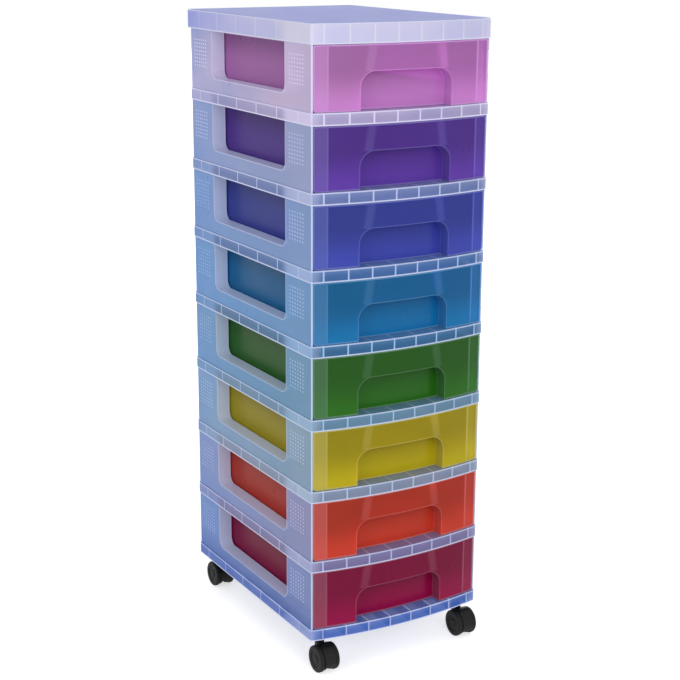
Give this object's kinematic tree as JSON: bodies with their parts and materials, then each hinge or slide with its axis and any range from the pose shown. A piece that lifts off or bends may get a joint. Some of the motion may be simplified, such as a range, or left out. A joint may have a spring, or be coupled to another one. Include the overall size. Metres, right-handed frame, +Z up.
{
  "type": "drawer tower",
  "caption": "Tall narrow tower of stacked translucent plastic levels, each with a bowed pull-out drawer in its own colour, on twin-wheel swivel casters.",
  "frame": {"origin": "on the floor, under the middle of the overall bounding box", "axes": "+Z up, the drawers open towards -Y, +X to the right for someone who faces the drawers"},
  "size_m": [0.3, 0.424, 0.97],
  "materials": {
    "body_1": "translucent polypropylene, satin",
    "body_2": "translucent polypropylene, satin",
    "body_3": "translucent polypropylene, satin",
    "body_4": "translucent polypropylene, satin",
    "body_5": "translucent polypropylene, satin",
    "body_6": "translucent polypropylene, satin",
    "body_7": "translucent polypropylene, satin",
    "body_8": "translucent polypropylene, satin",
    "pink": "translucent polypropylene, satin",
    "violet": "translucent polypropylene, satin",
    "indigo": "translucent polypropylene, satin",
    "azure": "translucent polypropylene, satin",
    "green": "translucent polypropylene, satin",
    "yellow": "translucent polypropylene, satin",
    "orange_red": "translucent polypropylene, satin",
    "crimson": "translucent polypropylene, satin",
    "cover": "translucent polypropylene, satin",
    "caster_plastic": "satin black",
    "tread": "matt black",
    "steel": "bright zinc"
  },
  "bodies": {
    "tower": {"deck_1": "body_1", "deck_2": "body_2", "deck_3": "body_3", "deck_4": "body_4", "deck_5": "body_5", "deck_6": "body_6", "deck_7": "body_7", "deck_8": "body_8", "walls_1": "body_1", "walls_2": "body_2", "walls_3": "body_3", "walls_4": "body_4", "walls_5": "body_5", "walls_6": "body_6", "walls_7": "body_7", "walls_8": "body_8", "top_cover": "cover", "caster_front_left_stem": "steel", "caster_front_right_stem": "steel", "caster_rear_left_stem": "steel", "caster_rear_right_stem": "steel"},
    "drawer_1": {"drawer_1": "pink"},
    "drawer_2": {"drawer_2": "violet"},
    "drawer_3": {"drawer_3": "indigo"},
    "drawer_4": {"drawer_4": "azure"},
    "drawer_5": {"drawer_5": "green"},
    "drawer_6": {"drawer_6": "yellow"},
    "drawer_7": {"drawer_7": "orange_red"},
    "drawer_8": {"drawer_8": "crimson"},
    "caster_front_left_swivel": {"caster_front_left_hood": "caster_plastic", "caster_front_left_axle": "steel"},
    "caster_front_left_wheel_left": {"caster_front_left_wheel_left": "tread"},
    "caster_front_left_wheel_right": {"caster_front_left_wheel_right": "tread"},
    "caster_front_right_swivel": {"caster_front_right_hood": "caster_plastic", "caster_front_right_axle": "steel"},
    "caster_front_right_wheel_left": {"caster_front_right_wheel_left": "tread"},
    "caster_front_right_wheel_right": {"caster_front_right_wheel_right": "tread"},
    "caster_rear_left_swivel": {"caster_rear_left_hood": "caster_plastic", "caster_rear_left_axle": "steel"},
    "caster_rear_left_wheel_left": {"caster_rear_left_wheel_left": "tread"},
    "caster_rear_left_wheel_right": {"caster_rear_left_wheel_right": "tread"},
    "caster_rear_right_swivel": {"caster_rear_right_hood": "caster_plastic", "caster_rear_right_axle": "steel"},
    "caster_rear_right_wheel_left": {"caster_rear_right_wheel_left": "tread"},
    "caster_rear_right_wheel_right": {"caster_rear_right_wheel_right": "tread"}
  },
  "joints": [
    {"name": "drawer_1_slide", "type": "slide", "parent": "tower", "child": "drawer_1", "axis": [0, -1, 0], "range_m": [0, 0.3]},
    {"name": "drawer_2_slide", "type": "slide", "parent": "tower", "child": "drawer_2", "axis": [0, -1, 0], "range_m": [0, 0.3]},
    {"name": "drawer_3_slide", "type": "slide", "parent": "tower", "child": "drawer_3", "axis": [0, -1, 0], "range_m": [0, 0.3]},
    {"name": "drawer_4_slide", "type": "slide", "parent": "tower", "child": "drawer_4", "axis": [0, -1, 0], "range_m": [0, 0.3]},
    {"name": "drawer_5_slide", "type": "slide", "parent": "tower", "child": "drawer_5", "axis": [0, -1, 0], "range_m": [0, 0.3]},
    {"name": "drawer_6_slide", "type": "slide", "parent": "tower", "child": "drawer_6", "axis": [0, -1, 0], "range_m": [0, 0.3]},
    {"name": "drawer_7_slide", "type": "slide", "parent": "tower", "child": "drawer_7", "axis": [0, -1, 0], "range_m": [0, 0.3]},
    {"name": "drawer_8_slide", "type": "slide", "parent": "tower", "child": "drawer_8", "axis": [0, -1, 0], "range_m": [0, 0.3]},
    {"name": "caster_front_left_swivel", "type": "hinge", "parent": "tower", "child": "caster_front_left_swivel", "pos_m": [-0.126, -0.1752, 0.053], "axis": [0, 0, 1], "continuous": true},
    {"name": "caster_front_left_wheel_left_roll", "type": "hinge", "parent": "caster_front_left_swivel", "child": "caster_front_left_wheel_left", "pos_m": [-0.126, -0.1902, 0.021], "axis": [1, 0, 0], "continuous": true},
    {"name": "caster_front_left_wheel_right_roll", "type": "hinge", "parent": "caster_front_left_swivel", "child": "caster_front_left_wheel_right", "pos_m": [-0.126, -0.1902, 0.021], "axis": [1, 0, 0], "continuous": true},
    {"name": "caster_front_right_swivel", "type": "hinge", "parent": "tower", "child": "caster_front_right_swivel", "pos_m": [0.126, -0.1752, 0.053], "axis": [0, 0, 1], "continuous": true},
    {"name": "caster_front_right_wheel_left_roll", "type": "hinge", "parent": "caster_front_right_swivel", "child": "caster_front_right_wheel_left", "pos_m": [0.126, -0.1902, 0.021], "axis": [1, 0, 0], "continuous": true},
    {"name": "caster_front_right_wheel_right_roll", "type": "hinge", "parent": "caster_front_right_swivel", "child": "caster_front_right_wheel_right", "pos_m": [0.126, -0.1902, 0.021], "axis": [1, 0, 0], "continuous": true},
    {"name": "caster_rear_left_swivel", "type": "hinge", "parent": "tower", "child": "caster_rear_left_swivel", "pos_m": [-0.126, 0.1872, 0.053], "axis": [0, 0, 1], "continuous": true},
    {"name": "caster_rear_left_wheel_left_roll", "type": "hinge", "parent": "caster_rear_left_swivel", "child": "caster_rear_left_wheel_left", "pos_m": [-0.126, 0.1722, 0.021], "axis": [1, 0, 0], "continuous": true},
    {"name": "caster_rear_left_wheel_right_roll", "type": "hinge", "parent": "caster_rear_left_swivel", "child": "caster_rear_left_wheel_right", "pos_m": [-0.126, 0.1722, 0.021], "axis": [1, 0, 0], "continuous": true},
    {"name": "caster_rear_right_swivel", "type": "hinge", "parent": "tower", "child": "caster_rear_right_swivel", "pos_m": [0.126, 0.1872, 0.053], "axis": [0, 0, 1], "continuous": true},
    {"name": "caster_rear_right_wheel_left_roll", "type": "hinge", "parent": "caster_rear_right_swivel", "child": "caster_rear_right_wheel_left", "pos_m": [0.126, 0.1722, 0.021], "axis": [1, 0, 0], "continuous": true},
    {"name": "caster_rear_right_wheel_right_roll", "type": "hinge", "parent": "caster_rear_right_swivel", "child": "caster_rear_right_wheel_right", "pos_m": [0.126, 0.1722, 0.021], "axis": [1, 0, 0], "continuous": true}
  ]
}
